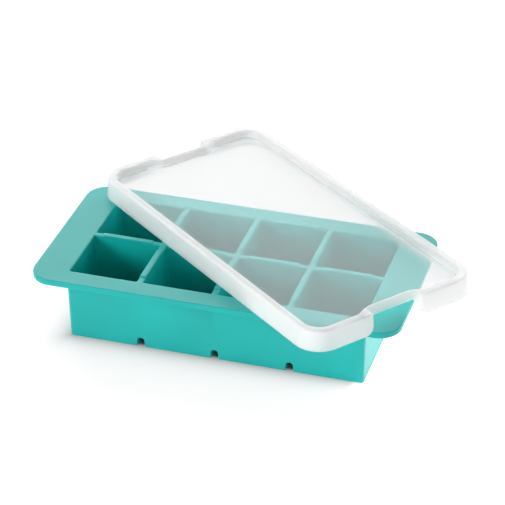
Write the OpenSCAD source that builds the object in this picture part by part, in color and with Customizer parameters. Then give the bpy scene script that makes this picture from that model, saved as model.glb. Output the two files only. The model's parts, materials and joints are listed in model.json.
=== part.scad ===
// Ice cube tray with a loose lid.
// The tray is one soft moulding: drafted cells hang from a flat rim, and low ribs on the walls
// between the cells stop water from running over. The lid is one thin translucent moulding, drawn
// where it was put down: turned on the rim, with its skirt tipped up by a rib.
// Millimetres. The origin is in the middle of the tray's underside, X runs along the tray, Z is up.

/* [Cells] */
// Cells along the tray
cells_long = 4; // [2:1:6]
// Cells across the tray
cells_wide = 2; // [1:1:3]
// Width of a cell's square mouth, from lip to lip
cell_mouth = 40; // [30:0.5:50]
// Flat top of the wall between two mouths
cell_land = 2.6; // [2:0.1:5]
// Depth of a cell below the top of the rim
cell_depth = 38.5; // [25:0.5:50]
// Slope of a cell's walls away from upright, in degrees
cell_draft = 2; // [1:0.25:3]
// Radius of a cell's upright corners at its floor
cell_corner = 2; // [1.5:0.1:4]
// Radius between a cell's walls and its floor
cell_fillet = 1.8; // [0.5:0.1:1.8]
// Width of the bevelled lip round a mouth
cell_lip = 0.6; // [0.3:0.1:1]

/* [Tray] */
// Thickness of the floor under the cells
floor_thick = 2.5; // [1.5:0.1:4]
// Thickness of the outer wall at the end cells' lips
end_wall = 1.4; // [1.2:0.1:4]
// Thickness of the outer wall at the side cells' lips
side_wall = 2.7; // [1.2:0.1:4]
// Slope of the outer walls away from upright, in degrees
body_draft = 1; // [0.5:0.25:2]
// Radius of the body's upright corners at its base
body_corner = 2; // [1.5:0.1:4]
// Radius along the body's bottom edge
body_edge = 1.2; // [0.5:0.1:2]
// Width of the grooves under the cross walls
groove_width = 4.4; // [2:0.1:5]
// Height of those grooves, up to their round tops
groove_height = 5.8; // [4:0.1:8]
// Width of the web left under the tray's middle, between its front and rear grooves
groove_web = 6; // [3:0.5:20]

/* [Rim] */
// How far the rim stands out past the end walls
rim_end = 19.3; // [8:0.1:30]
// How far the rim stands out past the side walls
rim_side = 9.6; // [6:0.1:20]
// Thickness of the rim
rim_thick = 3.6; // [2.5:0.1:6]
// Radius of the rim's corners seen from above
rim_corner = 12.5; // [8:0.5:18]
// Radius along the rim's upper and lower edges
rim_edge = 1; // [0.3:0.1:1.2]

/* [Ribs] */
// Rise of the ribs above the top of the rim
rib_rise = 0.7; // [0.3:0.1:1.5]
// Length left level with the rim at each end of a rib
rib_gap = 4.5; // [2:0.1:8]
// Length of the ramp at each end of a rib
rib_ramp = 1; // [0.5:0.1:2]

/* [Lid] */
// Gap between the rim and the lid's skirt, all round, when the lid is shut
lid_play = 0.8; // [0.3:0.1:1.5]
// Thickness of the lid's walls and of its panel
lid_wall = 1.5; // [1.2:0.1:2]
// Height of the lid, from the bottom of its skirt to the top of its border
lid_height = 12; // [10:0.1:16]
// Depth of the panel below the raised border
lid_recess = 4.8; // [3:0.1:6]
// Width of the raised border, across its top
border_width = 4.5; // [4.2:0.1:8]
// Slope of the border's inner face away from upright, in degrees
border_draft = 4; // [1:0.5:10]
// Radius along the border's outer upper edge
border_edge = 1.2; // [0.3:0.1:1.4]
// Radius between the border and the panel
panel_fillet = 1.8; // [0.5:0.1:2.5]
// How far the skirt leans out from top to bottom
skirt_flare = 0.8; // [0.3:0.1:1.2]
// Width of the grip notch in each end of the lid
notch_width = 31.5; // [20:0.5:50]
// Depth of that notch in from the end of the skirt
notch_depth = 7.7; // [6:0.1:10]
// Radius of the skirt's lower corners beside the notch
notch_radius = 4.5; // [1:0.1:5]
// Radius of the border's bend into the panel at the notch
notch_bend = 3; // [1:0.1:5]

/* [Lid's place] */
// Middle of the lid along the tray
lid_x = 18.7; // [0:0.1:30]
// Middle of the lid across the tray
lid_y = 22.6; // [5:0.1:30]
// Turn of the lid seen from above, in degrees
lid_turn = -38.4; // [-60:0.1:0]
// Tip of the lid about the tray's length, where a rib holds its near side up, in degrees
lid_tip = -0.5; // [-1:0.1:0]
// Least gap left between the lid and what it lies on
seat_gap = 0.1; // [0.05:0.05:0.3]

/* [Hidden] */
$fn = 64;
past = 1;

// Cells
cell_pitch = cell_mouth + cell_land;
tray_height = floor_thick + cell_depth;
cell_wall_top = tray_height - cell_lip;
cell_top_radius = cell_corner + (cell_wall_top - floor_thick) * tan(cell_draft);
cell_centre = cell_mouth / 2 - cell_lip - cell_top_radius;
cell_xs = [for (i = [0 : cells_long - 1]) (i - (cells_long - 1) / 2) * cell_pitch];
cell_ys = [for (i = [0 : cells_wide - 1]) (i - (cells_wide - 1) / 2) * cell_pitch];
wall_xs = [for (i = [1 : 1 : cells_long - 1]) (i - cells_long / 2) * cell_pitch];
wall_ys = [for (i = [1 : 1 : cells_wide - 1]) (i - cells_wide / 2) * cell_pitch];

// Body and rim, as half sizes
rim_under = tray_height - rim_thick;
cells_half_x = cells_long * cell_pitch / 2 - cell_land / 2 - cell_lip;
cells_half_y = cells_wide * cell_pitch / 2 - cell_land / 2 - cell_lip;
body_half_x = cells_half_x + end_wall;
body_half_y = cells_half_y + side_wall;
body_top_radius = body_corner + rim_under * tan(body_draft);
rim_half_x = body_half_x + rim_end;
rim_half_y = body_half_y + rim_side;

// Lid, as half sizes and heights above the bottom of its skirt
lid_margin = lid_play + lid_wall;
lid_half_x = rim_half_x + lid_margin;
lid_half_y = rim_half_y + lid_margin;
lid_corner = rim_corner + lid_margin;
lid_centre_x = lid_half_x - lid_corner;
lid_centre_y = lid_half_y - lid_corner;
skirt_draft = atan(skirt_flare / lid_height);
border_radius = lid_corner - skirt_flare;
recess_radius = border_radius - border_width;
panel_top = lid_height - lid_recess;
panel_under = panel_top - lid_wall;
panel_radius = recess_radius - lid_recess * tan(border_draft);
pocket_radius = lid_corner - lid_wall - panel_under * tan(skirt_draft);
notch_x = lid_half_x - notch_depth;

// The lid lies on the rear edge of the rim and on each rib that the near side of its skirt crosses
rib_top = tray_height + rib_rise;
rib_reach = cell_mouth / 2 - rib_gap;
skirt_reach = rib_reach + 2 * lid_wall;
near_offset = lid_half_y / cos(lid_turn);
crossed_ys = [for (x = wall_xs) if (on_rib(near_y(x), cell_ys)) near_y(x)];
passed_ys = [for (y = wall_ys) if (on_rib(near_x(y), cell_xs)) y];
rib_seats = [for (y = concat(crossed_ys, passed_ys)) rib_top - tip_rise(y)];
lid_z = max(concat([tray_height - tip_rise(rim_half_y)], rib_seats)) + seat_gap;

// Where the near side of the skirt crosses a line along Y or along X
function near_y(x) = lid_y - near_offset + (x - lid_x) * tan(lid_turn);
function near_x(y) = lid_x + (y - lid_y + near_offset) / tan(lid_turn);

// Whether the skirt meets a rib there, and how high the tipped lid's underside stands there
function on_rib(place, middles) = min([for (middle = middles) abs(place - middle)]) < skirt_reach;
function tip_rise(y) = (y - lid_y) * tan(lid_tip);

// A solid with round upright corners. Its child is one side's section, drawn outwards from the
// middles of the corner radii, which lie at half_x and half_y; bottom and top are its heights.
module round_solid(half_x, half_y, bottom, top) {
    for (turn = [0 : 3])
        mirror([turn % 2, 0, 0])
            mirror([0, floor(turn / 2), 0])
                translate([half_x, half_y, 0])
                    rotate_extrude(angle = 90)
                        children();
    rotate([90, 0, 0])
        linear_extrude(2 * half_y, center = true)
            across(half_x, bottom, top)
                children();
    rotate([90, 0, 90])
        linear_extrude(2 * half_x, center = true)
            across(half_y, bottom, top)
                children();
}

// The full width of such a section: its child on both sides of a filled middle
module across(half, bottom, top) {
    translate([-half, bottom])
        square([2 * half, top - bottom]);
    for (side = [0, 1])
        mirror([side, 0])
            translate([half, 0])
                children();
}

// One side of a drafted form: a flat base, a round lower edge and a wall that leans outwards
module drafted_side(base, top, radius, draft, fillet) {
    bend = min(fillet, radius);
    flat = radius - bend * (1 - sin(draft)) / cos(draft);
    polygon([
        [0, base],
        [flat, base],
        [flat + bend * cos(draft), base + bend * (1 - sin(draft))],
        [radius + (top - base) * tan(draft), top],
        [0, top]
    ]);
    intersection() {
        translate([flat, base + bend])
            circle(bend);
        translate([flat, base])
            square(bend);
    }
}

// The same side upside down, leaning outwards from its top
module hung_side(bottom, top, radius, draft, fillet) {
    mirror([0, 1])
        drafted_side(-top, -bottom, radius, draft, fillet);
}

// One side of a cell, up through its bevelled lip
module cell_side() {
    drafted_side(floor_thick, cell_wall_top, cell_corner, cell_draft, cell_fillet);
    polygon([
        [0, cell_wall_top],
        [cell_top_radius, cell_wall_top],
        [cell_top_radius + cell_lip, tray_height],
        [cell_top_radius + cell_lip, tray_height + past],
        [0, tray_height + past]
    ]);
}

// One side of the rim, with its upper and lower edges rounded
module rim_side_section() {
    translate([0, rim_under])
        square([rim_corner - rim_edge, rim_thick]);
    translate([0, rim_under + rim_edge])
        square([rim_corner, rim_thick - 2 * rim_edge]);
    for (height = [rim_under + rim_edge, tray_height - rim_edge])
        translate([rim_corner - rim_edge, height])
            circle(rim_edge);
}

// The grooves under one wall between cells, with round tops, in from both sides to the middle web
module grooves() {
    radius = groove_width / 2;
    for (side = [0, 1])
        mirror([0, side, 0])
            translate([0, -groove_web / 2, 0])
                rotate([90, 0, 0])
                    linear_extrude(rim_half_y) {
                        translate([-radius, -past])
                            square([groove_width, groove_height - radius + past]);
                        translate([0, groove_height - radius])
                            circle(radius);
                    }
}

// A low rib along X on the wall between two cells, ramped at both ends
module rib() {
    rotate([90, 0, 0])
        linear_extrude(cell_land + cell_lip, center = true)
            polygon([
                [-rib_reach, cell_wall_top],
                [rib_reach, cell_wall_top],
                [rib_reach, tray_height],
                [rib_reach - rib_ramp, rib_top],
                [rib_ramp - rib_reach, rib_top],
                [-rib_reach, tray_height]
            ]);
}

module tray() {
    color([0.1, 0.7, 0.68])
        difference() {
            union() {
                round_solid(rim_half_x - rim_corner, rim_half_y - rim_corner, rim_under, tray_height)
                    rim_side_section();
                round_solid(body_half_x - body_top_radius, body_half_y - body_top_radius, 0, rim_under)
                    drafted_side(0, rim_under, body_corner, body_draft, body_edge);
                tray_ribs();
            }
            for (x = cell_xs, y = cell_ys)
                translate([x, y, 0])
                    round_solid(cell_centre, cell_centre, floor_thick, tray_height + past)
                        cell_side();
            for (x = wall_xs)
                translate([x, 0, 0])
                    grooves();
        }
}

// Every rib on the walls between the cells
module tray_ribs() {
    for (x = cell_xs, y = wall_ys)
        translate([x, y, 0])
            rib();
    for (x = wall_xs, y = cell_ys)
        translate([x, y, 0])
            rotate([0, 0, 90])
                rib();
}

// A block across the end of the lid, from x outwards, with its two inner corners rounded
module end_block(x, half_width, radius, bottom, top) {
    translate([0, 0, bottom])
        linear_extrude(top - bottom) {
            translate([x, radius - half_width])
                square([lid_half_x, 2 * (half_width - radius)]);
            translate([x + radius, -half_width])
                square([lid_half_x, 2 * half_width]);
            for (side = [-1, 1])
                translate([x + radius, side * (half_width - radius)])
                    circle(radius);
        }
}

// What the grip notch takes away at one end, with the skirt's lower corners rounded
module notch() {
    half = notch_width / 2;
    translate([notch_x, 0, 0])
        rotate([90, 0, 90])
            linear_extrude(lid_half_x) {
                translate([-half, -past])
                    square([notch_width, lid_height + 2 * past]);
                for (side = [0, 1])
                    mirror([side, 0])
                        difference() {
                            translate([half, -past])
                                square([notch_radius, notch_radius + past]);
                            translate([half + notch_radius, notch_radius])
                                circle(notch_radius);
                        }
            }
}

// The hollow over the panel, inside the raised border
module lid_recess_hollow() {
    difference() {
        round_solid(lid_centre_x, lid_centre_y, panel_top, lid_height + past)
            drafted_side(panel_top, lid_height + past, panel_radius, border_draft, panel_fillet);
        for (side = [0, 180])
            rotate([0, 0, side])
                end_block(notch_x - lid_wall, notch_width / 2 + lid_wall, notch_bend,
                    panel_top - past, lid_height + 2 * past);
    }
}

// The slot inside the raised border, which keeps its walls thin
module border_slot() {
    slot_top = lid_height - lid_wall;
    difference() {
        round_solid(lid_centre_x, lid_centre_y, panel_under - past, slot_top)
            translate([0, panel_under - past])
                square([border_radius - lid_wall, slot_top - panel_under + past]);
        round_solid(lid_centre_x, lid_centre_y, 0, lid_height)
            square([recess_radius + lid_wall, lid_height]);
        for (side = [0, 180])
            rotate([0, 0, side])
                end_block(notch_x - 2 * lid_wall, notch_width / 2 + 2 * lid_wall, notch_bend,
                    0, lid_height);
    }
}

module lid() {
    color([0.92, 0.95, 0.95, 0.6])
        translate([lid_x, lid_y, lid_z])
            rotate([lid_tip, 0, 0])
                rotate([0, 0, lid_turn])
                    difference() {
                        round_solid(lid_centre_x, lid_centre_y, 0, lid_height)
                            hung_side(0, lid_height, border_radius, skirt_draft, border_edge);
                        lid_recess_hollow();
                        round_solid(lid_centre_x, lid_centre_y, -past, panel_under)
                            hung_side(-past, panel_under, pocket_radius, skirt_draft, lid_play);
                        border_slot();
                        for (side = [0, 180])
                            rotate([0, 0, side])
                                notch();
                    }
}

tray();
lid();
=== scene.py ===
# %% [markdown]
# # A silicone ice cube tray with its lid put down askew
# The real object is two mouldings: a soft teal tray of cells and a thin frosted lid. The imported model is
# loaded first, as a fixed frame. Each piece below is modelled anew round it, in metres, and rides on its
# body.

import json
import math

import bmesh
import bpy
from mathutils import Matrix, Vector

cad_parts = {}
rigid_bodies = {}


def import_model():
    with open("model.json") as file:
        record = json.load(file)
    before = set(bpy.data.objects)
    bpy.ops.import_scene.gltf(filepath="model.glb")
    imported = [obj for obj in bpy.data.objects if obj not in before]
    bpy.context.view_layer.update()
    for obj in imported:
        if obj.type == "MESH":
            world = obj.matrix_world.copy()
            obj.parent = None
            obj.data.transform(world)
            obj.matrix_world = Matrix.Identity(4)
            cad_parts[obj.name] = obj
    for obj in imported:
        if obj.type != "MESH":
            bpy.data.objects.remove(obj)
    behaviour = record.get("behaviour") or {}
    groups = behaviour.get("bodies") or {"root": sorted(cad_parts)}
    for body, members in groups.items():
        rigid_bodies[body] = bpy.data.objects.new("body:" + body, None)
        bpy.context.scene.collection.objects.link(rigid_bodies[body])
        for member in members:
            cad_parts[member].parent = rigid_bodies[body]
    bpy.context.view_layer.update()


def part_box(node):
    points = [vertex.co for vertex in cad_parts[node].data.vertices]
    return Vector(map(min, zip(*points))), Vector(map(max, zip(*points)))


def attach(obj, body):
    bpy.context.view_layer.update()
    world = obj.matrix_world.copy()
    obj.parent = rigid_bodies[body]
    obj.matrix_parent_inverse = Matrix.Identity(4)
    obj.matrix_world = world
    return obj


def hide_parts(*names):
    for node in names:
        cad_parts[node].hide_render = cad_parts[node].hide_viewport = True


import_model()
tray_low, tray_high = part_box("tray")
lid_low, lid_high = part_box("lid")


def short(values, digits=4):
    """Numbers cut to a length that is easy to read."""
    return [round(value, digits) for value in values]


print("tray", short(tray_high - tray_low), "lid", short(lid_high - lid_low))

# %% [markdown]
# ## The camera
# A product shot is taken with a long lens from a few steps away, so that edges stay nearly parallel. A
# camera could be placed by eye, but these numbers were fitted to the tray's edges in the photograph, so
# that each edge falls where it has to. The camera looks at a point on the object, from an azimuth and an
# elevation, and rolls by a hair. Blender's camera looks down its own -Z, so the columns of its matrix are
# right, up and back.

# %% Camera
MM = 0.001
IMAGE_SIDE = 505
FOCAL_PIXELS = 2201.4
SENSOR = 36.0
AZIMUTH, ELEVATION, ROLL = math.radians(17.247), math.radians(31.615), math.radians(-0.441)
TARGET = Vector((-2.88, 38.274, 20.0)) * MM
DISTANCE = 1261.4 * MM


def way_to(azimuth, elevation):
    """The direction of a place, by its azimuth from the front and its elevation."""
    return Vector((math.sin(azimuth) * math.cos(elevation), -math.cos(azimuth) * math.cos(elevation),
                   math.sin(elevation)))


back = way_to(AZIMUTH, ELEVATION)
level = Vector((math.cos(AZIMUTH), math.sin(AZIMUTH), 0))
rise = back.cross(level)
right = math.cos(ROLL) * level + math.sin(ROLL) * rise
up = math.cos(ROLL) * rise - math.sin(ROLL) * level

camera_data = bpy.data.cameras.new("camera")
camera_data.sensor_width = SENSOR
camera_data.lens = FOCAL_PIXELS / IMAGE_SIDE * SENSOR
camera = bpy.data.objects.new("camera", camera_data)
camera_turn = Matrix((right, up, back)).transposed().to_4x4()
camera.matrix_world = Matrix.Translation(TARGET + back * DISTANCE) @ camera_turn
bpy.context.scene.collection.objects.link(camera)
bpy.context.scene.camera = camera
print("lens", round(camera_data.lens, 1), "mm, from", short(camera.location, 3))

# %% [markdown]
# ## How a moulding is shaped here
# Moulded pieces have round corners in plan and round edges in section. They could be cut from blocks with
# booleans, but those leave ragged faces that shade badly. So each form starts as one flat face whose
# corners are rounded by a vertex bevel. Insetting that face again and again, a little inwards and a little
# along its normal each time, draws the section: a wall, a fillet, a lip. Every ring has the same number of
# points, so the surface stays even and rings of two forms can be bridged.

# %% Faces and insets
TINY = 1e-6


def round_face(bm, half_x, half_y, z, radius, steps):
    """One flat face that looks up, with round corners."""
    known = set(bm.faces)
    corners = bmesh.ops.create_grid(bm, x_segments=1, y_segments=1, size=1)["verts"]
    bmesh.ops.scale(bm, vec=(half_x, half_y, 1), verts=corners)
    bmesh.ops.translate(bm, vec=(0, 0, z), verts=corners)
    bmesh.ops.bevel(bm, geom=corners, offset=radius, offset_type="OFFSET", segments=steps, profile=0.5,
                    affect="VERTICES", material=-1)
    return next(f for f in bm.faces if f not in known)


def split_sides(bm, face, axis, stops):
    """Adds a point wherever a side of the face that runs along an axis passes one of the stops."""
    for stop in stops:
        for edge in list(face.edges):
            start, end = (v.co[axis] for v in edge.verts)
            if min(start, end) + TINY < stop < max(start, end) - TINY:
                made = bmesh.ops.bisect_edges(bm, edges=[edge], cuts=1)
                for vert in (v for v in made["geom_split"] if isinstance(v, bmesh.types.BMVert)):
                    vert.co[axis] = stop


def press(bm, face, steps):
    """Insets a face step by step: each step goes inwards, and along the face's normal."""
    for inwards, along in steps:
        bmesh.ops.inset_individual(bm, faces=[face], thickness=inwards, depth=along, use_even_offset=True)


# %% Quarter rounds
ROUND_STEPS = 5
SMALL_ROUND_STEPS = 3


def bend_level(radius, way, steps=ROUND_STEPS):
    """A quarter round that starts along the wall and ends level."""
    turns = [k * math.pi / 2 / steps for k in range(steps + 1)]
    return [(radius * (math.cos(a) - math.cos(b)), way * radius * (math.sin(b) - math.sin(a)))
            for a, b in zip(turns, turns[1:])]


def bend_steep(radius, way, steps=ROUND_STEPS):
    """A quarter round that starts level and ends along the wall."""
    return [(along, way * inwards) for inwards, along in bend_level(radius, 1, steps)][::-1]


print("a quarter round of 1 mm, in mm:", [short(step, 2) for step in bend_level(1, 1)])

# %% [markdown]
# ## The silicone
# Moulded silicone has a deep, even colour and a satin skin. Light that gets into it scatters and comes out
# close by, which lifts thin edges. One flat colour would look like painted card, so a noise a few
# centimetres across shifts the colour slightly, a finer one varies the roughness, and a very fine one gives
# the skin its bump. The shader's subsurface stands for the light inside. All noises read Object
# coordinates, so they stay on the piece.

# %% Finish helpers


def new_finish(name, sockets):
    """A material whose shader has these plain values. Gives its node tree, shader and coordinates too."""
    material = bpy.data.materials.new(name)
    material.use_nodes = True
    tree = material.node_tree
    shader = tree.nodes["Principled BSDF"]
    for socket, value in sockets.items():
        shader.inputs[socket].default_value = value
    place = tree.nodes.new("ShaderNodeTexCoord").outputs["Object"]
    return material, tree, shader, place


def add_noise(tree, place, scale, detail):
    """A noise with this many waves in a metre."""
    noise = tree.nodes.new("ShaderNodeTexNoise")
    noise.inputs["Scale"].default_value = scale
    noise.inputs["Detail"].default_value = detail
    tree.links.new(place, noise.inputs["Vector"])
    return noise.outputs["Fac"]


def add_range(tree, value, low, high, start=0, end=1):
    """Maps start to end onto low to high, and goes no further at either side."""
    spread = tree.nodes.new("ShaderNodeMapRange")
    for socket, number in zip(("From Min", "From Max", "To Min", "To Max"), (start, end, low, high)):
        spread.inputs[socket].default_value = number
    tree.links.new(value, spread.inputs["Value"])
    return spread.outputs["Result"]


def add_grain(tree, shader, place, scale, strength, height):
    """A very fine bump all over the surface."""
    bump = tree.nodes.new("ShaderNodeBump")
    bump.inputs["Strength"].default_value = strength
    bump.inputs["Distance"].default_value = height
    tree.links.new(add_noise(tree, place, scale, detail=2), bump.inputs["Height"])
    tree.links.new(bump.outputs["Normal"], shader.inputs["Normal"])


# %% Silicone finish
TEAL = (0.0005, 0.415, 0.39)
SATIN = (0.38, 0.5)
DRIFT_STOPS = ((0.3, 0.95), (0.7, 1.05))
SILICONE = {
    "IOR": 1.45,
    "Specular IOR Level": 0.45,
    "Subsurface Weight": 0.5,
    "Subsurface Radius": (0.3, 1.0, 0.95),
    "Subsurface Scale": 2.5 * MM,
}


def silicone_finish(name, colour):
    material, tree, shader, place = new_finish(name, SILICONE)
    drift = tree.nodes.new("ShaderNodeValToRGB")
    for stop, (position, share) in zip(drift.color_ramp.elements, DRIFT_STOPS):
        stop.position = position
        stop.color = (*(part * share for part in colour), 1)
    tree.links.new(add_noise(tree, place, scale=40, detail=3), drift.inputs["Fac"])
    tree.links.new(drift.outputs["Color"], shader.inputs["Base Color"])
    roughness = add_range(tree, add_noise(tree, place, scale=180, detail=4), *SATIN)
    tree.links.new(roughness, shader.inputs["Roughness"])
    add_grain(tree, shader, place, scale=2500, strength=0.15, height=0.05 * MM)
    return material


teal_silicone = silicone_finish("teal_silicone", TEAL)
print(teal_silicone.name, len(teal_silicone.node_tree.nodes), "nodes")

# %% [markdown]
# ## The tray's cells
# Every cell is the same cup: a square mouth with a soft lip, walls that draw in towards the floor so that a
# cube slides out, and a fillet round the floor. It could be a bevelled box turned inside out, but pressed
# down from its mouth it keeps one ring of points per height. The points that the ribs need are put into the
# mouth's sides first. The fillet has to be smaller than what the lip leaves of the corner: an inset past a
# corner's own radius folds the outline over itself.

# %% One cell
CELLS_LONG, CELLS_WIDE = 4, 2
CELL_MOUTH = 40 * MM
CELL_LAND = 2.6 * MM
CELL_PITCH = CELL_MOUTH + CELL_LAND
CELL_CORNER = 1.4 * MM
CELL_CORNER_STEPS = 8
CELL_LIP = 0.5 * MM
CELL_FILLET = 0.7 * MM
CELL_DRAFT = math.radians(2)
FLOOR = 2.5 * MM
RIB_RISE = 0.7 * MM
RIB_GAP = 4.5 * MM
RIB_REACH = CELL_MOUTH / 2 - RIB_GAP
RIB_RAMP = 1.4 * MM
RIB_RAMP_STEPS = 4
RIM_TOP = tray_high.z - RIB_RISE

ramp_stops = [RIB_REACH - RIB_RAMP * k / RIB_RAMP_STEPS for k in range(RIB_RAMP_STEPS + 1)]
RIB_STOPS = [side * stop for side in (-1, 1) for stop in ramp_stops]


def cell_cup():
    bm = bmesh.new()
    face = round_face(bm, CELL_MOUTH / 2, CELL_MOUTH / 2, RIM_TOP, CELL_CORNER, CELL_CORNER_STEPS)
    for axis in (0, 1):
        split_sides(bm, face, axis, RIB_STOPS)
    press(bm, face, bend_steep(CELL_LIP, -1))
    wall = RIM_TOP - FLOOR - CELL_LIP - CELL_FILLET
    press(bm, face, [(0, -wall)])
    foot = 1 - wall * math.tan(CELL_DRAFT) / (CELL_MOUTH / 2 - CELL_LIP)
    bmesh.ops.scale(bm, vec=(foot, foot, 1), verts=face.verts)
    press(bm, face, bend_level(CELL_FILLET, -1))
    return bm


print("cells", CELLS_LONG * CELLS_WIDE, "deep", round(RIM_TOP - FLOOR, 4), "apart", round(CELL_PITCH, 4))

# %% [markdown]
# ## The tray's body
# The body is a drafted block. Short grooves run in from both long sides under the walls between the cells,
# where the silicone would be thickest. A boolean could cut them, but its edges wouldn't take a clean bevel.
# So planes cut the block's skin along each groove, the strips between the cuts are taken out, and the
# groove's end and roof are pulled across. A bevel then rounds the roof, and another one softens every sharp
# edge that is left.

# %% Groove helpers
WALL_XS = [(i - CELLS_LONG / 2) * CELL_PITCH for i in range(1, CELLS_LONG)]
GROOVE_WIDTH = 4.2 * MM
GROOVE_HEIGHT = 5.6 * MM
GROOVE_WEB = 6 * MM


def cut(bm, faces, point, normal):
    """Cuts these faces along a plane."""
    verts = dict.fromkeys(v for f in faces for v in f.verts)
    edges = dict.fromkeys(e for f in faces for e in f.edges)
    bmesh.ops.bisect_plane(bm, geom=[*verts, *edges, *faces], dist=TINY, plane_co=point, plane_no=normal)


def soften(bm, edges, radius, steps):
    """Rounds edges with a bevel."""
    bmesh.ops.bevel(bm, geom=edges, offset=radius, offset_type="OFFSET", segments=steps, profile=0.5,
                    affect="EDGES", clamp_overlap=True, loop_slide=True, material=-1)


def open_groove(bm, x, side):
    """Takes the skin off one groove and builds its end, roof and walls."""
    strip = [f for f in bm.faces if abs(f.calc_center_median().x - x) < GROOVE_WIDTH / 2
             and f.calc_center_median().y * side > GROOVE_WEB / 2 + TINY
             and f.calc_center_median().z < GROOVE_HEIGHT]
    rim = [e for f in strip for e in f.edges]
    end = next(e for e in rim if all(abs(v.co.y - side * GROOVE_WEB / 2) < TINY for v in e.verts))
    top = next(e for e in rim if all(abs(v.co.z - GROOVE_HEIGHT) < TINY for v in e.verts))
    bmesh.ops.delete(bm, geom=strip, context="FACES")
    made = bmesh.ops.extrude_edge_only(bm, edges=[end])["geom"]
    lifted = [v for v in made if isinstance(v, bmesh.types.BMVert)]
    bmesh.ops.translate(bm, vec=(0, 0, GROOVE_HEIGHT), verts=lifted)
    roof = next(e for e in made if isinstance(e, bmesh.types.BMEdge))
    bmesh.ops.bridge_loops(bm, edges=[top, roof])
    bmesh.ops.holes_fill(bm, edges=[e for e in bm.edges if e.is_boundary], sides=4)


print("grooves at", short(WALL_XS))

# %% Body with its grooves
RIM_THICK = 3.6 * MM
RIM_UNDER = RIM_TOP - RIM_THICK
END_WALL, SIDE_WALL = 1.4 * MM, 2.7 * MM
BODY_HALF_X = CELLS_LONG * CELL_PITCH / 2 - CELL_LAND / 2 - CELL_LIP + END_WALL
BODY_HALF_Y = CELLS_WIDE * CELL_PITCH / 2 - CELL_LAND / 2 - CELL_LIP + SIDE_WALL
BODY_DRAFT = math.radians(1)
BODY_INSET = RIM_UNDER * math.tan(BODY_DRAFT)
BODY_CORNER = 2.6 * MM
BODY_CORNER_STEPS = 8
BODY_EDGE = 0.9 * MM
BODY_EDGE_STEPS = 4
ROOF_SHARE = 0.98
ROOF_STEPS = 6
SHARP = math.radians(35)
GROOVE_PLANES = (
    ((0, 0, GROOVE_HEIGHT), (0, 0, 1)),
    ((0, -GROOVE_WEB / 2, 0), (0, 1, 0)),
    ((0, GROOVE_WEB / 2, 0), (0, 1, 0)),
)


def body_shell():
    bm = bmesh.new()
    face = round_face(bm, BODY_HALF_X, BODY_HALF_Y, RIM_UNDER, BODY_CORNER, BODY_CORNER_STEPS)
    bmesh.ops.reverse_faces(bm, faces=[face])
    press(bm, face, [(BODY_INSET, RIM_UNDER)])
    for x in WALL_XS:
        for side in (-1, 1):
            cut(bm, bm.faces[:], (x + side * GROOVE_WIDTH / 2, 0, 0), (1, 0, 0))
        for point, normal in GROOVE_PLANES:
            strip = [f for f in bm.faces if abs(f.calc_center_median().x - x) < GROOVE_WIDTH / 2]
            cut(bm, strip, point, normal)
        for side in (-1, 1):
            open_groove(bm, x, side)
    roof_edges = [e for e in bm.edges if all(abs(v.co.z - GROOVE_HEIGHT) < TINY for v in e.verts)
                  and abs(e.verts[0].co.y - e.verts[1].co.y) > GROOVE_WEB]
    # Just short of a full half round, so that the bevels of both edges don't run into each other.
    soften(bm, roof_edges, GROOVE_WIDTH / 2 * ROOF_SHARE, ROOF_STEPS)
    bmesh.ops.recalc_face_normals(bm, faces=bm.faces)
    sharp_edges = [e for e in bm.edges if len(e.link_faces) == 2 and e.is_convex
                   and e.calc_face_angle() > SHARP]
    soften(bm, sharp_edges, BODY_EDGE, BODY_EDGE_STEPS)
    print("body:", len(roof_edges), "roof edges and", len(sharp_edges), "sharp edges rounded")
    return bm


# %% [markdown]
# ## The rim, and the tray put together
# The rim is a flat plate with round corners and round edges. Its top becomes a deck with eight mouths in it
# and its underside a face with the body's outline in it: each is filled between outlines that lie in one
# plane, so the tray is one closed skin, as a moulding is. Last, the walls between the cells are drawn up
# into low ribs, all but their ends, which dip to the deck's level.

# %% Rim
RIM_CORNER = 12.5 * MM
RIM_CORNER_STEPS = 16
RIM_EDGE = 0.5 * MM


def rim_plate():
    bm = bmesh.new()
    face = round_face(bm, tray_high.x, tray_high.y, RIM_UNDER + RIM_EDGE, RIM_CORNER, RIM_CORNER_STEPS)
    made = bmesh.ops.extrude_face_region(bm, geom=[face])["geom"]
    lifted = [v for v in made if isinstance(v, bmesh.types.BMVert)]
    bmesh.ops.translate(bm, vec=(0, 0, RIM_THICK - 2 * RIM_EDGE), verts=lifted)
    bmesh.ops.recalc_face_normals(bm, faces=bm.faces)
    top_and_bottom = [f for f in bm.faces if abs(f.normal.z) > 0.5]
    for face in top_and_bottom:
        press(bm, face, bend_level(RIM_EDGE, 1))
    bmesh.ops.delete(bm, geom=top_and_bottom, context="FACES_ONLY")
    return bm


def fill_between(bm, z):
    """Fills the plane between all open outlines at one height."""
    edges = [e for e in bm.edges if len(e.link_faces) < 2 and all(abs(v.co.z - z) < TINY for v in e.verts)]
    bmesh.ops.triangle_fill(bm, use_beauty=True, edges=edges)


print("rim", short((2 * tray_high.x, 2 * tray_high.y, RIM_THICK)))

# %% Ribs
CELL_XS = [(i - (CELLS_LONG - 1) / 2) * CELL_PITCH for i in range(CELLS_LONG)]
CELL_YS = [(j - (CELLS_WIDE - 1) / 2) * CELL_PITCH for j in range(CELLS_WIDE)]
WALL_YS = [(j - CELLS_WIDE / 2) * CELL_PITCH for j in range(1, CELLS_WIDE)]


def smooth_step(share):
    """0 below 0, 1 above 1, and a soft S between them."""
    share = min(max(share, 0), 1)
    return share * share * (3 - 2 * share)


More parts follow.
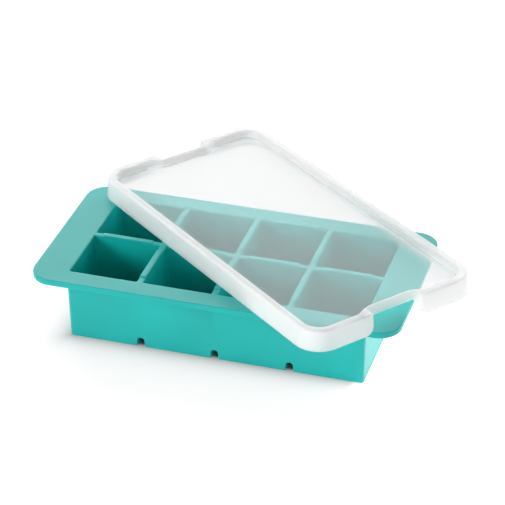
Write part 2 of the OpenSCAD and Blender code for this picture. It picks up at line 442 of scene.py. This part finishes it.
def rib_lift(place):
    """How far a point on the deck is drawn up into a rib."""
    reach = CELL_LAND / 2 + CELL_LIP + TINY
    from_middles = []
    if any(abs(place.y - y) < reach for y in WALL_YS):
        from_middles.append(min(abs(place.x - x) for x in CELL_XS))
    if any(abs(place.x - x) < reach for x in WALL_XS):
        from_middles.append(min(abs(place.y - y) for y in CELL_YS))
    return RIB_RISE * max([smooth_step((RIB_REACH - s) / RIB_RAMP) for s in from_middles], default=0)


print("ribs rise", RIB_RISE, "and reach", round(RIB_REACH, 4), "from a cell's middle")

# %% From a bmesh to a piece


def add_to(bm, part):
    """Moves the shapes of one bmesh into another."""
    mesh = bpy.data.meshes.new("part")
    part.to_mesh(mesh)
    part.free()
    bm.from_mesh(mesh)
    bpy.data.meshes.remove(mesh)


def finish_piece(bm, name, body, node, finish):
    """Makes an object of a bmesh. Weighted normals keep its flats flat beside its smooth rounds."""
    bmesh.ops.recalc_face_normals(bm, faces=bm.faces)
    for face in bm.faces:
        face.smooth = True
    print(name, "open edges", sum(not e.is_manifold for e in bm.edges))
    mesh = bpy.data.meshes.new(name)
    bm.to_mesh(mesh)
    bm.free()
    piece = bpy.data.objects.new(name, mesh)
    bpy.context.scene.collection.objects.link(piece)
    piece.data.materials.append(finish)
    weighted = piece.modifiers.new("even normals", "WEIGHTED_NORMAL")
    weighted.keep_sharp = True
    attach(piece, body)
    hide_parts(node)
    print(name, len(mesh.polygons), "faces")
    return piece


# %% Tray


def tray():
    bm = rim_plate()
    add_to(bm, body_shell())
    for x in CELL_XS:
        for y in CELL_YS:
            cup = cell_cup()
            bmesh.ops.translate(cup, vec=(x, y, 0), verts=cup.verts)
            add_to(bm, cup)
    fill_between(bm, RIM_TOP)
    fill_between(bm, RIM_UNDER)
    for vert in bm.verts:
        if vert.co.z > RIM_TOP - CELL_LIP - TINY:
            vert.co.z += rib_lift(vert.co)
    return finish_piece(bm, "silicone_tray", "tray", "tray", teal_silicone)


silicone_tray = tray()

# %% [markdown]
# ## The frosted plastic
# The lid is a thin plastic with a fine matt skin. Part of the light passes it, and part is scattered back
# as a white veil. Refraction through two rough skins would be slow and would blur the cells too much, so
# the veil is the shader's alpha. It is denser on the border, the skirt and the notches, where one looks
# through more plastic, than on the panel, and an attribute on the points tells these apart. Two things
# depend on the kind of ray. The veil throws a lighter shadow than it shows, and light that bounces about in
# the cells meets a translucent sheet, which lets the light from above in.

# %% Frosted finish
WALL_ATTRIBUTE = "border_and_skirt"
PANEL_VEIL, WALL_VEIL = 0.25, 0.62
# Painted light and shade: panel and border are one plastic. The border and skirt are painted lighter, and the
# panel darker, with a slight painted teal from the light that the tray throws up.
PANEL_SHADED_TONE, WALL_LIT_TONE = (0.525, 0.555, 0.56), (0.775, 0.78, 0.78)
SHADOW_SHARE = 0.5
SHEET_TONE = (0.68, 0.68, 0.68, 1)
MATT = (0.4, 0.48)
PLASTIC = {
    "IOR": 1.49,
    "Subsurface Weight": 1.0,
    "Subsurface Radius": (1, 1, 1),
    "Subsurface Scale": 3 * MM,
}


def frosted_finish(name):
    material, tree, shader, place = new_finish(name, PLASTIC)
    roughness = add_range(tree, add_noise(tree, place, scale=90, detail=4), *MATT)
    tree.links.new(roughness, shader.inputs["Roughness"])
    add_grain(tree, shader, place, scale=3000, strength=0.1, height=0.03 * MM)

    wall = tree.nodes.new("ShaderNodeAttribute")
    wall.attribute_name = WALL_ATTRIBUTE
    # The base colour is painted light and shade: lighter on the border and skirt, darker and slightly teal on
    # the panel.
    tone = tree.nodes.new("ShaderNodeValToRGB")
    for stop, colour in zip(tone.color_ramp.elements, (PANEL_SHADED_TONE, WALL_LIT_TONE)):
        stop.color = (*colour, 1)
    tree.links.new(wall.outputs["Fac"], tone.inputs["Fac"])
    tree.links.new(tone.outputs["Color"], shader.inputs["Base Color"])

    ray = tree.nodes.new("ShaderNodeLightPath")
    cover = tree.nodes.new("ShaderNodeMath")
    cover.operation = "MULTIPLY"
    tree.links.new(add_range(tree, wall.outputs["Fac"], PANEL_VEIL, WALL_VEIL), cover.inputs[0])
    tree.links.new(add_range(tree, ray.outputs["Is Shadow Ray"], 1, SHADOW_SHARE), cover.inputs[1])
    tree.links.new(cover.outputs["Value"], shader.inputs["Alpha"])

    sheet = tree.nodes.new("ShaderNodeBsdfTranslucent")
    sheet.inputs["Color"].default_value = SHEET_TONE
    either = tree.nodes.new("ShaderNodeMixShader")
    tree.links.new(ray.outputs["Is Diffuse Ray"], either.inputs["Fac"])
    tree.links.new(shader.outputs["BSDF"], either.inputs[1])
    tree.links.new(sheet.outputs["BSDF"], either.inputs[2])
    tree.links.new(either.outputs["Shader"], tree.nodes["Material Output"].inputs["Surface"])
    return material


frosted_plastic = frosted_finish("frosted_plastic")
print(frosted_plastic.name, len(frosted_plastic.node_tree.nodes), "nodes")

# %% [markdown]
# ## The lid
# The lid is one thin wall. Its outer skin goes up the skirt, over the raised border and down to the panel.
# Its inner skin goes up the skirt, round the slot inside the border and down to the panel's underside. A
# Solidify modifier could give one skin its thickness, but then the slot couldn't run out, so both skins are
# drawn and bridged at the foot. At both ends the border swings inwards, the slot runs out, and a notch is
# cut through the skirt for a fingertip. The lid is drawn level at the origin, and then turned, tipped and
# put in its place.

# %% Lid sizes
LID_WALL = 1.5 * MM
LID_PLAY = 0.8 * MM
LID_MARGIN = LID_WALL + LID_PLAY
LID_HALF_X, LID_HALF_Y = tray_high.x + LID_MARGIN, tray_high.y + LID_MARGIN
LID_CORNER_EASE = 0.06 * MM
LID_CORNER = RIM_CORNER + LID_MARGIN + LID_CORNER_EASE
LID_CORNER_STEPS = 14
LID_HEIGHT = 12 * MM
LID_RECESS = 4.8 * MM
SKIRT_FLARE = 0.8 * MM
BORDER_WIDTH = 5.1 * MM
BORDER_OUTER_EDGE, BORDER_INNER_EDGE = 1.3 * MM, 0.9 * MM
BORDER_LEAN = 0.3 * MM
PANEL_FILLET = 1.8 * MM
PANEL_UNDER = LID_HEIGHT - LID_RECESS - LID_WALL
SLOT_TOP = LID_HEIGHT - LID_WALL
SLOT_ROUND = (BORDER_WIDTH - 2 * LID_WALL) / 2
SLOT_LEAN = 0.1 * MM
SLOT_BROW = 0.7 * MM
UNDER_RING = 8 * MM
print("lid", short((2 * LID_HALF_X, 2 * LID_HALF_Y, LID_HEIGHT)))

# %% Stops along the lid's ends
NOTCH_HALF = 16.0 * MM
NOTCH_X = LID_HALF_X - 8 * MM
NOTCH_FOOT = 4.5 * MM
NOTCH_FOOT_TURNS = (0, 26, 48, 70, 90)
SWING = 3.7 * MM
SWING_START, SWING_END = 23 * MM, 13 * MM
SWING_STEPS = 8
SLOT_START, SLOT_END = 27 * MM, 23 * MM
SLOT_STEPS = 4
CLEAR_INSIDE, CLEAR_OUTSIDE = 3 * MM, 0.3 * MM

foot_stops = [NOTCH_HALF + NOTCH_FOOT * (1 - math.cos(math.radians(turn))) for turn in NOTCH_FOOT_TURNS]
swing_stops = [SWING_END + (SWING_START - SWING_END) * k / SWING_STEPS for k in range(SWING_STEPS + 1)]
swing_stops = [stop for stop in swing_stops
               if not foot_stops[0] - CLEAR_INSIDE < stop < foot_stops[-1] + CLEAR_OUTSIDE]
slot_stops = [SLOT_END + (SLOT_START - SLOT_END) * k / SLOT_STEPS for k in range(1, SLOT_STEPS + 1)]
END_STOPS = [side * stop for side in (-1, 1) for stop in foot_stops + swing_stops + slot_stops]
print(len(END_STOPS), "stops along each end")

# %% Lid skins


def outer_skin():
    bm = bmesh.new()
    face = round_face(bm, LID_HALF_X, LID_HALF_Y, 0, LID_CORNER, LID_CORNER_STEPS)
    split_sides(bm, face, 1, END_STOPS)
    flat = BORDER_WIDTH - BORDER_OUTER_EDGE - BORDER_INNER_EDGE
    drop = LID_RECESS - BORDER_INNER_EDGE - PANEL_FILLET
    press(bm, face, [(SKIRT_FLARE, LID_HEIGHT - BORDER_OUTER_EDGE)])
    press(bm, face, bend_level(BORDER_OUTER_EDGE, 1) + [(flat, 0)])
    border = set(bm.verts) - set(face.verts)
    press(bm, face, bend_steep(BORDER_INNER_EDGE, -1) + [(BORDER_LEAN, -drop)] + bend_level(PANEL_FILLET, -1))
    for vert in set(bm.verts) - border:
        swing = SWING * smooth_step((SWING_START - abs(vert.co.y)) / (SWING_START - SWING_END))
        if abs(vert.co.x) > LID_HALF_X / 2:
            vert.co.x -= math.copysign(swing, vert.co.x)
    return bm


def inner_skin():
    bm = bmesh.new()
    face = round_face(bm, LID_HALF_X - LID_WALL, LID_HALF_Y - LID_WALL, 0, LID_CORNER - LID_WALL,
                      LID_CORNER_STEPS)
    split_sides(bm, face, 1, END_STOPS)
    bmesh.ops.reverse_faces(bm, faces=[face])
    press(bm, face, [(SKIRT_FLARE * SLOT_TOP / LID_HEIGHT, SLOT_ROUND - SLOT_TOP)])
    press(bm, face, bend_level(SLOT_ROUND, -1, SMALL_ROUND_STEPS))
    press(bm, face, bend_steep(SLOT_ROUND, 1, SMALL_ROUND_STEPS))
    press(bm, face, [(SLOT_LEAN, SLOT_TOP - SLOT_ROUND - PANEL_UNDER - SLOT_BROW)])
    press(bm, face, bend_level(SLOT_BROW, 1, SMALL_ROUND_STEPS) + [(UNDER_RING, 0)])
    for vert in bm.verts:
        fade = smooth_step((SLOT_START - abs(vert.co.y)) / (SLOT_START - SLOT_END))
        if abs(vert.co.x) > LID_HALF_X / 2 and vert.co.z > PANEL_UNDER:
            vert.co.z += (PANEL_UNDER - vert.co.z) * fade
    return bm


# %% Notch and wall
NOTCH_EDGE = 0.3 * MM
NEAR_END = 0.8 * LID_HALF_X


def cut_notch(bm, end):
    """Cuts the finger notch through one end of the lid, and closes the wall round it."""
    def inside(place):
        return abs(place.y) < NOTCH_HALF and place.x * end > NEAR_END

    cut(bm, [f for f in bm.faces if inside(f.calc_center_median())], (end * NOTCH_X, 0, 0), (1, 0, 0))
    gone = [f for f in bm.faces
            if inside(f.calc_center_median()) and f.calc_center_median().x * end > NOTCH_X]
    bmesh.ops.delete(bm, geom=gone, context="FACES")
    rim_points = dict.fromkeys(v for e in bm.edges if e.is_boundary for v in e.verts)
    for side in (-1, 1):
        corner = [v for v in rim_points
                  if abs(v.co.x - end * NOTCH_X) < TINY and abs(v.co.y - side * NOTCH_HALF) < TINY]
        bmesh.ops.contextual_create(bm, geom=corner)
    rim = [e for e in bm.edges if len(e.link_faces) < 2]
    caps = []
    for axis, value in ((0, end * NOTCH_X), (1, NOTCH_HALF), (1, -NOTCH_HALF)):
        outline = [e for e in rim if all(abs(v.co[axis] - value) < TINY for v in e.verts)]
        caps += bmesh.ops.edgeloop_fill(bm, edges=outline)["faces"]
    bmesh.ops.recalc_face_normals(bm, faces=bm.faces)
    for cap in caps:
        press(bm, cap, bend_level(NOTCH_EDGE, 1, SMALL_ROUND_STEPS))
    print("notch:", len(gone), "faces cut away,", len(caps), "walls closed")


def mark_wall(bm):
    """Marks the points of the border, the skirt and the notches with 1, and those of the panel with 0."""
    layer = bm.verts.layers.float.new(WALL_ATTRIBUTE)
    panel_top = LID_HEIGHT - LID_RECESS
    for vert in bm.verts:
        from_edge = min(LID_HALF_X - abs(vert.co.x), LID_HALF_Y - abs(vert.co.y))
        inside = from_edge > BORDER_WIDTH + SKIRT_FLARE
        level_with_panel = PANEL_UNDER - TINY < vert.co.z < panel_top + PANEL_FILLET / 2
        in_notch = abs(vert.co.x) > NOTCH_X + TINY and abs(vert.co.y) < NOTCH_HALF
        vert[layer] = 0 if inside and level_with_panel and not in_notch else 1


# %% Lid
LID_TURN, LID_TIP = math.radians(-38.4), math.radians(-0.5)


def lid():
    bm = outer_skin()
    add_to(bm, inner_skin())
    for vert in (v for v in bm.verts if v.co.z < TINY and abs(v.co.x) > LID_HALF_X - 2 * LID_WALL):
        past = NOTCH_HALF + NOTCH_FOOT - abs(vert.co.y)
        if past > 0:
            vert.co.z = NOTCH_FOOT - math.sqrt(max(NOTCH_FOOT ** 2 - past ** 2, 0))
    bmesh.ops.bridge_loops(bm, edges=[e for e in bm.edges if e.is_boundary])
    for end in (-1, 1):
        cut_notch(bm, end)
    mark_wall(bm)
    bmesh.ops.rotate(bm, cent=(0, 0, 0), matrix=Matrix.Rotation(LID_TURN, 3, "Z"), verts=bm.verts)
    bmesh.ops.rotate(bm, cent=(0, 0, 0), matrix=Matrix.Rotation(LID_TIP, 3, "X"), verts=bm.verts)
    low = Vector(min(v.co[i] for v in bm.verts) for i in range(3))
    high = Vector(max(v.co[i] for v in bm.verts) for i in range(3))
    bmesh.ops.translate(bm, vec=(lid_low + lid_high - low - high) / 2, verts=bm.verts)
    return finish_piece(bm, "frosted_lid", "lid", "lid", frosted_plastic)


frosted_lid = lid()

# %% [markdown]
# ## The floor
# The tray stands on a white sweep that is nearly blown out. Lamps strong enough for that would bleach the
# tray too, so the floor glows by itself, a little less towards the rear. A glowing floor hardly takes a
# contact shadow, so a painted contact shadow fades its glow towards the tray's foot: vector maths gives the
# distance from a box, and an exponential makes a soft edge of it. The painted shade is weak on the right and
# at the rear, the lit sides. A patch of painted light beside the right end makes the floor glow brighter
# there, and it shows in the satin skin of the end wall.

# %% Floor helpers


def add_vector_math(tree, operation, source, other=(0, 0, 0)):
    """One step of vector maths."""
    made = tree.nodes.new("ShaderNodeVectorMath")
    made.operation = operation
    made.inputs[1].default_value = other
    tree.links.new(source, made.inputs[0])
    return made.outputs["Value" if operation == "LENGTH" else "Vector"]


def add_math(tree, operation, *values, clamp=False):
    """One step of maths on numbers and sockets."""
    made = tree.nodes.new("ShaderNodeMath")
    made.operation = operation
    made.use_clamp = clamp
    for socket, value in zip(made.inputs, values):
        if isinstance(value, bpy.types.NodeSocket):
            tree.links.new(value, socket)
        else:
            socket.default_value = value
    return made.outputs["Value"]


def add_split(tree, vector):
    """The parts of a vector."""
    split = tree.nodes.new("ShaderNodeSeparateXYZ")
    tree.links.new(vector, split.inputs["Vector"])
    return split.outputs


def add_box_distance(tree, place, middle, half):
    """How far a place lies outside a box, and how far past each of its sides, which is negative inside."""
    from_middle = add_vector_math(tree, "SUBTRACT", place, middle)
    past = add_vector_math(tree, "SUBTRACT", add_vector_math(tree, "ABSOLUTE", from_middle), half)
    return add_vector_math(tree, "LENGTH", add_vector_math(tree, "MAXIMUM", past)), past


def add_fade(tree, distance, reach):
    """1 at no distance, and less and less further out."""
    return add_math(tree, "EXPONENT", add_math(tree, "DIVIDE", distance, -reach))


# %% Floor finish
FLOOR_GLOW, REAR_SHARE = 0.85, 0.83
GLOW_NEAR, GLOW_FAR = -0.05, 0.3
FOOT_HALF = Vector((BODY_HALF_X - BODY_INSET, BODY_HALF_Y - BODY_INSET, 0))
# Depth and reach of the painted contact shadow, and the painted pool of light beside the right end.
SHADE_DEPTH, SHADE_DEPTH_LIT, SHADE_REACH = 0.66, 0.05, 7.5 * MM
PATCH_GLOW, PATCH_FADE = 1.45, 10 * MM
PATCH_MIDDLE = Vector((FOOT_HALF.x + 30 * MM, -5 * MM, 0))
PATCH_HALF = Vector((25 * MM, 35 * MM, 0))
SWEEP = {
    "Base Color": (0.25, 0.25, 0.25, 1),
    "Roughness": 0.7,
    "Emission Color": (1, 0.985, 0.985, 1),
}


def sweep_finish(name):
    material, tree, shader, place = new_finish(name, SWEEP)
    glow = add_range(tree, add_split(tree, place)["Y"], FLOOR_GLOW, FLOOR_GLOW * REAR_SHARE,
                     GLOW_NEAR, GLOW_FAR)

    # Painted contact shadow: the glow fades near the tray's foot, less on the right and at the rear.
    outside, past = add_box_distance(tree, place, (0, 0, 0), FOOT_HALF)
    sides = add_split(tree, past)
    inside = add_math(tree, "MINIMUM", add_math(tree, "MAXIMUM", sides["X"], sides["Y"]), 0)
    fade = add_fade(tree, add_math(tree, "ADD", outside, inside), SHADE_REACH)
    lit = add_split(tree, add_vector_math(tree, "SUBTRACT", place, FOOT_HALF))
    depth = add_range(tree, add_math(tree, "MAXIMUM", lit["X"], lit["Y"]), -SHADE_DEPTH, -SHADE_DEPTH_LIT,
                      -SHADE_REACH, 0)
    shade = add_math(tree, "MULTIPLY_ADD", fade, depth, 1, clamp=True)

    # Painted pool of light beside the right end, which the end wall reflects.
    from_patch, _ = add_box_distance(tree, place, PATCH_MIDDLE, PATCH_HALF)
    patch = add_math(tree, "MULTIPLY_ADD", add_fade(tree, from_patch, PATCH_FADE), PATCH_GLOW, 1)
    strength = add_math(tree, "MULTIPLY", add_math(tree, "MULTIPLY", glow, shade), patch)
    tree.links.new(strength, shader.inputs["Emission Strength"])
    return material


white_sweep = sweep_finish("white_sweep")
print(white_sweep.name, len(white_sweep.node_tree.nodes), "nodes, shade round", short(FOOT_HALF))

# %% Floor
FLOOR_HALF = 4

floor_mesh = bmesh.new()
bmesh.ops.create_grid(floor_mesh, x_segments=1, y_segments=1, size=FLOOR_HALF)
floor_data = bpy.data.meshes.new("floor")
floor_mesh.to_mesh(floor_data)
floor_mesh.free()
floor = bpy.data.objects.new("floor", floor_data)
floor_data.materials.append(white_sweep)
bpy.context.scene.collection.objects.link(floor)
print("floor", short(floor.dimensions))

# %% [markdown]
# ## The light
# A big softbox behind the tray makes the deck and the lid's border shine and leaves those walls of the
# cells dark that face the camera. Small ones in front fill the front wall and the skirt, and a low strip
# behind the right end lights the rim. A room full of light would be simpler, but it would fill the cells
# with light as well, so the room is dark.

# %% Lights
LIGHT_DISTANCE = 1.3
# Name, azimuth from the front and elevation in degrees, width and height in metres, power in watts.
SOFTBOXES = (
    ("rear", 190, 30, 2.2, 1.1, 23.5),
    ("rear_high", 185, 60, 1.2, 0.8, 3),
    ("front_left", -50, 22, 0.45, 0.45, 8.8),
    ("front_low", -10, 12, 0.8, 0.5, 3),
    ("front_right", 40, 25, 0.8, 0.8, 4.8),
    ("right_low", 125, 9, 0.6, 0.2, 4.5),
)


def softbox(name, azimuth, elevation, width, height, power):
    """A soft light that looks at the tray's foot."""
    way = way_to(math.radians(azimuth), math.radians(elevation))
    data = bpy.data.lights.new(name, "AREA")
    data.shape = "RECTANGLE"
    data.size, data.size_y = width, height
    data.energy = power
    light = bpy.data.objects.new(name, data)
    light.location = way * LIGHT_DISTANCE
    light.rotation_mode = "QUATERNION"
    light.rotation_quaternion = (-way).to_track_quat("-Z", "Y")
    bpy.context.scene.collection.objects.link(light)
    return light


lights = [softbox(*numbers) for numbers in SOFTBOXES]
print(len(lights), "softboxes of", round(sum(light.data.energy for light in lights), 1), "W together")

# %% Room and colours
room = bpy.data.worlds.new("room")
room.use_nodes = True
room.node_tree.nodes["Background"].inputs["Strength"].default_value = 0
bpy.context.scene.world = room
bpy.context.scene.view_settings.view_transform = "Standard"
bpy.context.scene.cycles.use_denoising = True
print("view transform", bpy.context.scene.view_settings.view_transform)
